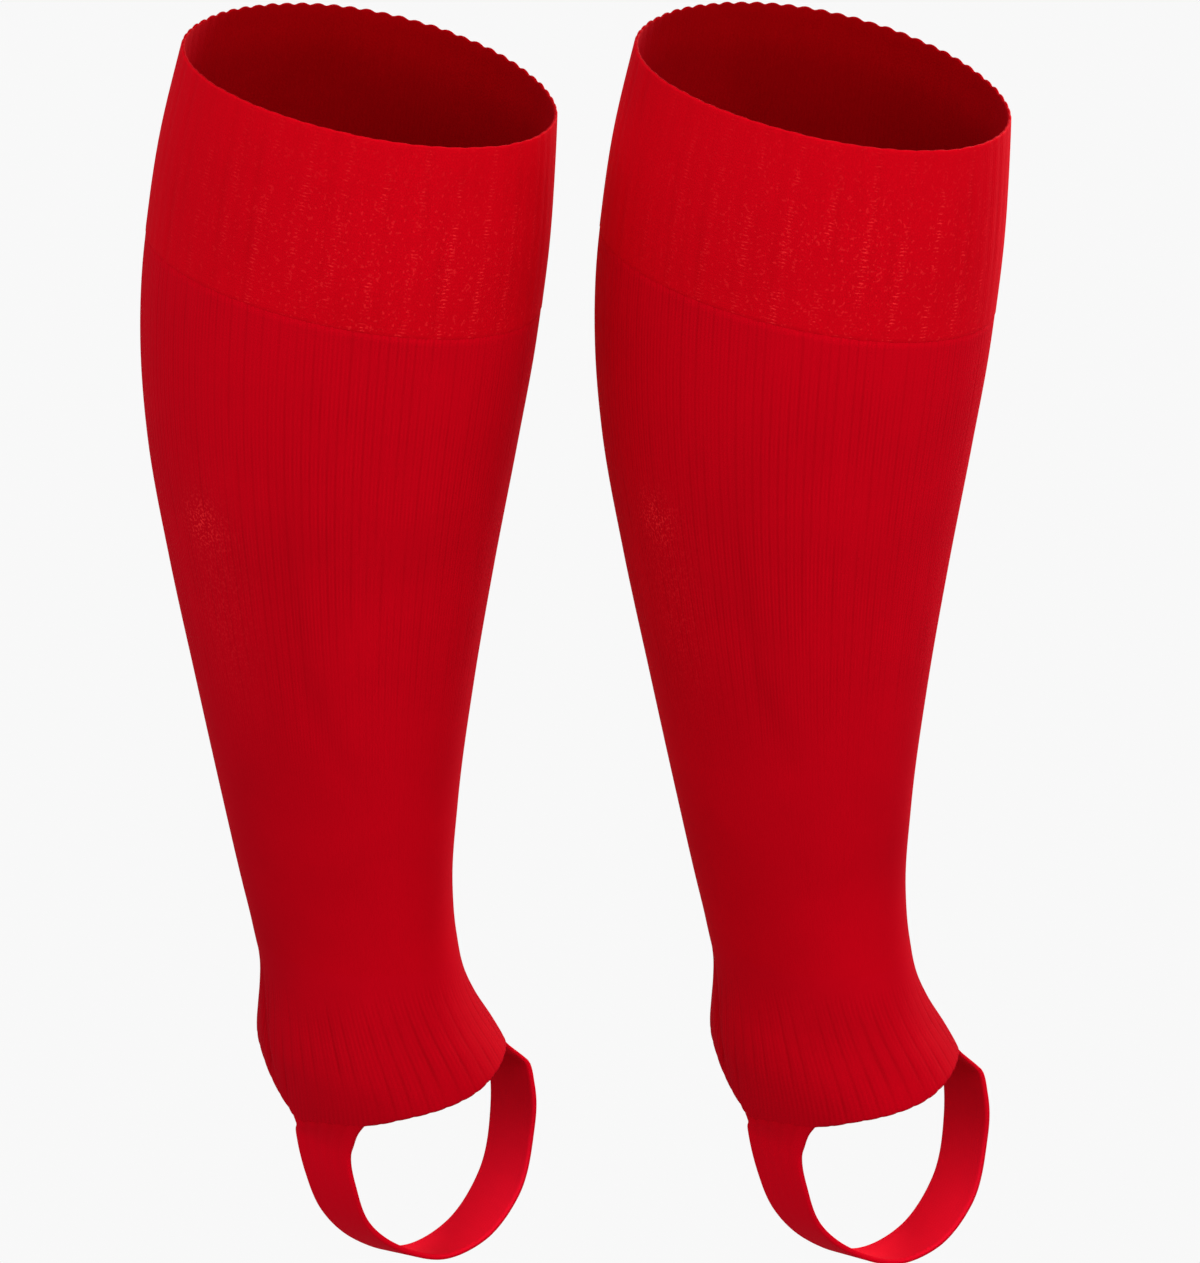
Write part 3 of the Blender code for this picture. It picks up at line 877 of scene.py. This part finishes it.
def knit_material(piece):
    """Dyed knit: stitches from the piece's own wales and courses, with painted shade in its
    grooves, troughs, inside and lower down, and painted glints and highlights.
    """
    knit = KNITS[piece]
    material = bpy.data.materials.new(piece + "_knit")
    material.use_nodes = True
    n = Nodes(material.node_tree)
    split = n.add("ShaderNodeSeparateXYZ")
    n.link(n.add("ShaderNodeUVMap", uv_map="knit").outputs[0], split.inputs[0])
    wale, length = split.outputs[0], split.outputs[1]
    place = n.add("ShaderNodeTexCoord").outputs["Object"]
    groove = n.attribute("groove")
    slack_and_painted_shade = n.attribute("slack_and_painted_shade")

    course = n.math("DIVIDE", length, knit.course)
    aside = n.math("ABSOLUTE", n.minus(n.math("FRACT", wale), 0.5))
    column = n.math("COSINE", n.times(aside, 2 * math.pi))
    vee = n.math("SINE", n.times(n.plus(course, n.times(aside, VEE_RISE)), 2 * math.pi))
    stitch = n.plus(n.times(column, knit.wale), n.times(vee, VEE_HEIGHT))
    taut = n.plus(n.ramp(slack_and_painted_shade, *TAUT_SLACK), n.ramp(slack_and_painted_shade, *HEM_TAUT_SLACK))
    taut = n.plus(TAUT_LEAST, n.times(taut, 1.0 - TAUT_LEAST))
    fibres = n.times(n.noise(place, FIBRES), knit.fibre)
    height = n.times(n.plus(n.times(stitch, knit.stitch), fibres), taut)
    # Painted light on the columns of stitches, which lightens them.
    line = n.times(column, n.times(taut, n.noise(place, LINE_BREAKS)))

    # Painted shade: grooves, seam and troughs, the inside of the tubes (partly the back of the
    # knit's own colour), and slack knit lower down. Patches and speckles are the dye's own
    # unevenness.
    back = n.ramp(groove, *BACK_GROOVE)
    rib = n.math("MINIMUM", groove, OUTSIDE_MOST)
    patch = n.minus(0.5, n.noise(place, PATCHES))
    speckle = n.minus(0.5, n.noise(place, SPECKLES))
    shade = n.plus(n.times(rib, knit.groove), n.times(back, BACK_AND_INNER_PAINTED_SHADE))
    shade = n.plus(shade, n.times(slack_and_painted_shade, SLACK_PAINTED_SHADE))
    shade = n.plus(shade, n.times(patch, PATCH_SHADE))
    shade = n.plus(shade, n.times(speckle, knit.speckle))
    shade = n.minus(shade, n.times(line, knit.line))
    shade.node.use_clamp = True
    colour = n.mix(shade, (*knit.colour, 1.0), (*knit.shade, 1.0))
    # Painted glints and highlights: leaning glint columns on the cuff, glinting dots on the leg's
    # napped places, and the band's inner face.
    if knit.bright:
        bright = n.attribute("nap_and_painted_glint")
        if piece == "cuff":
            glints = n.times(stitch_glints(n, wale, length, place), n.minus(1.0, back))
            bright = n.times(glints, bright)
        if piece == "leg":
            bright = n.times(n.noise(place, NAP_GLINT_DOTS), bright)
        colour = n.mix(bright, colour, (*knit.bright, 1.0))

    bump = n.add("ShaderNodeBump")
    bump.inputs["Strength"].default_value = BUMP_STRENGTH
    bump.inputs["Distance"].default_value = MM
    n.link(height, bump.inputs["Height"])
    shader = material.node_tree.nodes["Principled BSDF"]
    n.link(colour, shader.inputs["Base Color"])
    n.link(bump.outputs[0], shader.inputs["Normal"])
    for key, value in FINISH.items():
        shader.inputs[key].default_value = value
    return material


# What each piece was before it was stretched over a leg: its flat width all round and its length,
# in metres, and its area where it tapers.
Cut = namedtuple("Cut", "width length area")


def build_socks():
    """All eight pieces, each riding on the part and standing for its solid."""
    shells = {
        "cuff": cuff_rings(),
        "leg": leg_rings(),
        "ankle": ankle_rings(),
        "stirrup": stirrup_rings(),
    }
    for piece, shell in shells.items():
        material = knit_material(piece)
        closed = piece != "stirrup"
        for side in TOES_TURN:
            name = side + "_" + piece
            made = grid_object(name + "_cloth", shell, WALES[piece], material, side, closed)
            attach(made, "root")
            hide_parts(name)


# The studio, in metres and in the pair's frame.
CAMERA_PLACE = (0.0, -1.2, 0.264)
CAMERA_TILT = 18.705
CAMERA_LENS = 116.49
CAMERA_SENSOR = 36.0
CAMERA_SHIFT = 0.0226

Lamp = namedtuple("Lamp", "name place size power")
LAMPS = (
    Lamp("back right", (0.8, 1.25, 0.45), 0.7, 23.0),
    Lamp("top front", (0.35, -0.8, 1.3), 0.9, 7.5),
    Lamp("front right", (0.75, -1.25, 0.7), 0.7, 4.0),
    Lamp("right", (1.5, -0.6, 0.9), 0.8, 5.0),
    Lamp("left", (-1.2, -1.2, 0.5), 1.0, 5.0),
)
LAMP_AIM = (0.0, 0.0, -0.15)

BELOW = (0.47, 0.47, 0.47, 1.0)
ABOVE = (0.70, 0.70, 0.70, 1.0)
BELOW_TO_ABOVE = (-0.6, 0.8)
BACKDROP = (0.94, 0.94, 0.94, 1.0)
BLACK = (0.0, 0.0, 0.0, 1.0)
FLOOR_REACH = 30.0
FLOOR_HEIGHT = -1.0


def build_camera():
    """Camera in front of the pair, above its rims and tilted down."""
    data = bpy.data.cameras.new("camera")
    data.lens = CAMERA_LENS
    data.sensor_width = CAMERA_SENSOR
    data.shift_x = CAMERA_SHIFT
    camera = bpy.data.objects.new("camera", data)
    camera.location = CAMERA_PLACE
    camera.rotation_euler = (math.radians(90.0 - CAMERA_TILT), 0.0, 0.0)
    bpy.context.scene.collection.objects.link(camera)
    bpy.context.scene.camera = camera


def build_lamps():
    """Soft round lamps, all aimed at the middle of the pair."""
    for lamp in LAMPS:
        data = bpy.data.lights.new(lamp.name, "AREA")
        data.shape = "DISK"
        data.size = lamp.size
        data.energy = lamp.power
        light = bpy.data.objects.new(lamp.name, data)
        light.location = lamp.place
        aim = np.array(LAMP_AIM) - np.array(lamp.place)
        tilt = math.atan2(math.hypot(aim[0], aim[1]), -aim[2])
        light.rotation_euler = (tilt, 0.0, math.atan2(aim[1], aim[0]) - math.pi / 2)
        bpy.context.scene.collection.objects.link(light)


def build_surroundings():
    """Soft light from all round, brighter from above, behind an even pale backdrop."""
    world = bpy.data.worlds.new("studio")
    world.use_nodes = True
    bpy.context.scene.world = world
    n = Nodes(world.node_tree)
    split = n.add("ShaderNodeSeparateXYZ")
    n.link(n.add("ShaderNodeTexCoord").outputs["Generated"], split.inputs[0])
    light = n.mix(n.ramp(split.outputs[2], *BELOW_TO_ABOVE), BELOW, ABOVE)
    seen = n.add("ShaderNodeLightPath").outputs["Is Camera Ray"]
    background = world.node_tree.nodes["Background"]
    n.link(n.mix(seen, light, BACKDROP), background.inputs["Color"])
    bpy.context.scene.view_settings.view_transform = "Standard"


def build_floor():
    """Even pale floor that only the camera sees."""
    reach = FLOOR_REACH
    corners = [(-reach, -reach), (reach, -reach), (reach, reach), (-reach, reach)]
    mesh = bpy.data.meshes.new("floor")
    mesh.from_pydata([(x, y, FLOOR_HEIGHT) for x, y in corners], [], [(0, 1, 2, 3)])
    material = bpy.data.materials.new("pale_floor")
    material.use_nodes = True
    shader = material.node_tree.nodes["Principled BSDF"]
    shader.inputs["Base Color"].default_value = BLACK
    shader.inputs["Specular IOR Level"].default_value = 0.0
    shader.inputs["Emission Color"].default_value = BACKDROP
    shader.inputs["Emission Strength"].default_value = 1.0
    mesh.materials.append(material)
    floor = bpy.data.objects.new("floor", mesh)
    floor.visible_diffuse = False
    floor.visible_glossy = False
    floor.visible_shadow = False
    bpy.context.scene.collection.objects.link(floor)


for old in list(bpy.data.objects):
    bpy.data.objects.remove(old, do_unlink=True)
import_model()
build_camera()
build_socks()
build_lamps()
build_surroundings()
build_floor()
bpy.context.view_layer.update()
